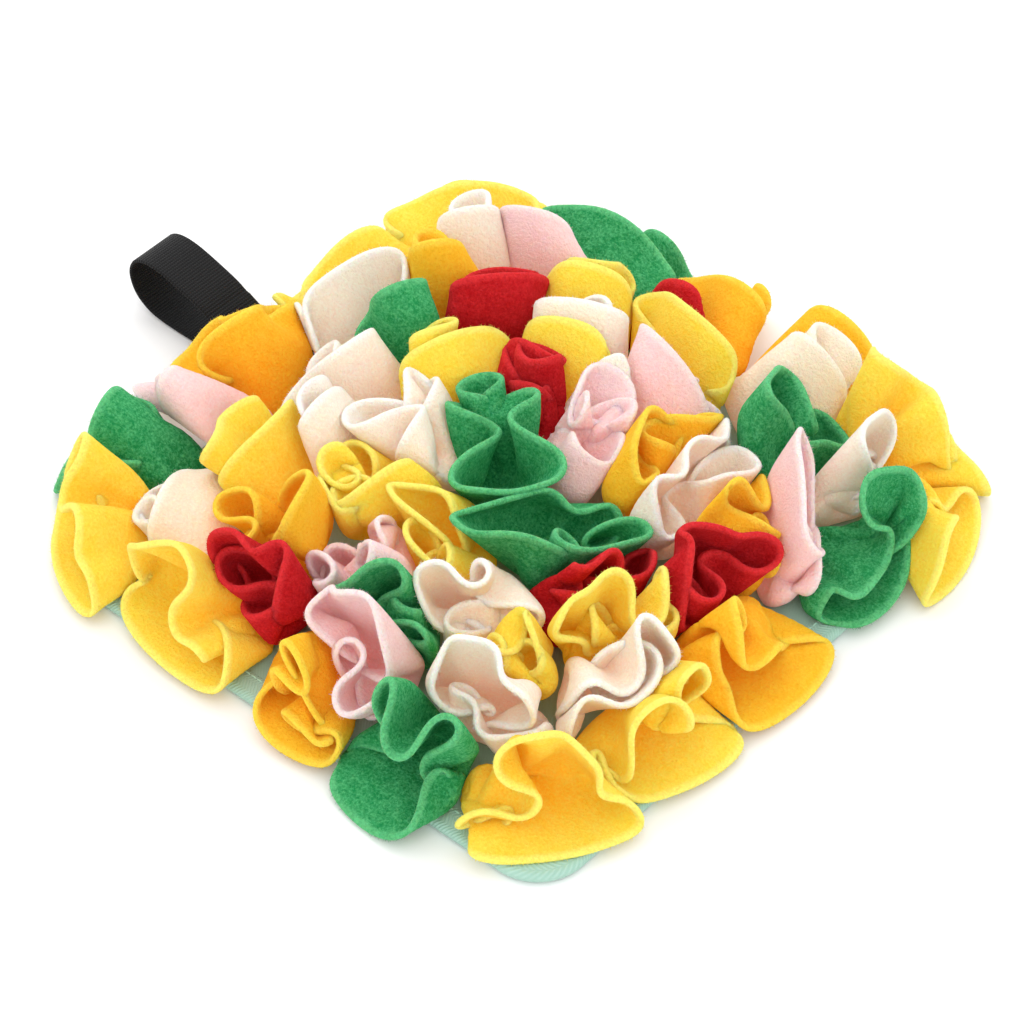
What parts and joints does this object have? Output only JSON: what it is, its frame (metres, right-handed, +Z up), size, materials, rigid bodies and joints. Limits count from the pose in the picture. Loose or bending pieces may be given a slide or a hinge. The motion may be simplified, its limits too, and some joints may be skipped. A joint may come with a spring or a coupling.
{
  "type": "snuffle mat",
  "caption": "Square snuffle mat: a flat taped panel crowded with ruffled fleece circles, each sewn down at its centre, and a webbing hanging loop folded out at one side.",
  "frame": {"origin": "centre of the square panel, on its underside, which lies on the surface", "axes": "+Z up out of the panel; -X towards the side that carries the hanging loop; +Y along that side"},
  "size_m": [0.3808, 0.3183, 0.0564],
  "materials": {
    "binding_tape": "matt herringbone tape",
    "fleece_cream": "soft brushed fleece, matt",
    "fleece_golden": "soft brushed fleece, matt",
    "fleece_green": "soft brushed fleece, matt",
    "fleece_pink": "soft brushed fleece, matt",
    "fleece_red": "soft brushed fleece, matt",
    "fleece_white": "soft brushed fleece, matt",
    "fleece_yellow": "soft brushed fleece, matt",
    "panel_cloth": "matt plain-woven cloth",
    "webbing": "ribbed nylon webbing, slight sheen"
  },
  "bodies": {
    "root": {"base_panel": "panel_cloth", "edge_binding": "binding_tape", "hanging_loop": "webbing", "petal_cream_1": "fleece_cream", "petal_cream_2": "fleece_cream", "petal_golden_1": "fleece_golden", "petal_golden_2": "fleece_golden", "petal_golden_3": "fleece_golden", "petal_golden_4": "fleece_golden", "petal_golden_5": "fleece_golden", "petal_golden_6": "fleece_golden", "petal_golden_7": "fleece_golden", "petal_green_1": "fleece_green", "petal_green_2": "fleece_green", "petal_green_3": "fleece_green", "petal_green_4": "fleece_green", "petal_green_5": "fleece_green", "petal_green_6": "fleece_green", "petal_green_7": "fleece_green", "petal_green_8": "fleece_green", "petal_green_9": "fleece_green", "petal_pink_1": "fleece_pink", "petal_pink_2": "fleece_pink", "petal_pink_3": "fleece_pink", "petal_pink_4": "fleece_pink", "petal_pink_5": "fleece_pink", "petal_pink_6": "fleece_pink", "petal_pink_7": "fleece_pink", "petal_red_1": "fleece_red", "petal_red_2": "fleece_red", "petal_red_4": "fleece_red", "petal_red_5": "fleece_red", "petal_red_6": "fleece_red", "petal_red_8": "fleece_red", "petal_white_1": "fleece_white", "petal_white_11": "fleece_white", "petal_white_13": "fleece_white", "petal_white_2": "fleece_white", "petal_white_3": "fleece_white", "petal_white_5": "fleece_white", "petal_white_6": "fleece_white", "petal_white_7": "fleece_white", "petal_white_8": "fleece_white", "petal_white_9": "fleece_white", "petal_yellow_1": "fleece_yellow", "petal_yellow_10": "fleece_yellow", "petal_yellow_11": "fleece_yellow", "petal_yellow_12": "fleece_yellow", "petal_yellow_13": "fleece_yellow", "petal_yellow_15": "fleece_yellow", "petal_yellow_16": "fleece_yellow", "petal_yellow_17": "fleece_yellow", "petal_yellow_18": "fleece_yellow", "petal_yellow_2": "fleece_yellow", "petal_yellow_3": "fleece_yellow", "petal_yellow_5": "fleece_yellow", "petal_yellow_6": "fleece_yellow", "petal_yellow_7": "fleece_yellow", "petal_yellow_8": "fleece_yellow", "petal_yellow_9": "fleece_yellow"}
  },
  "joints": []
}
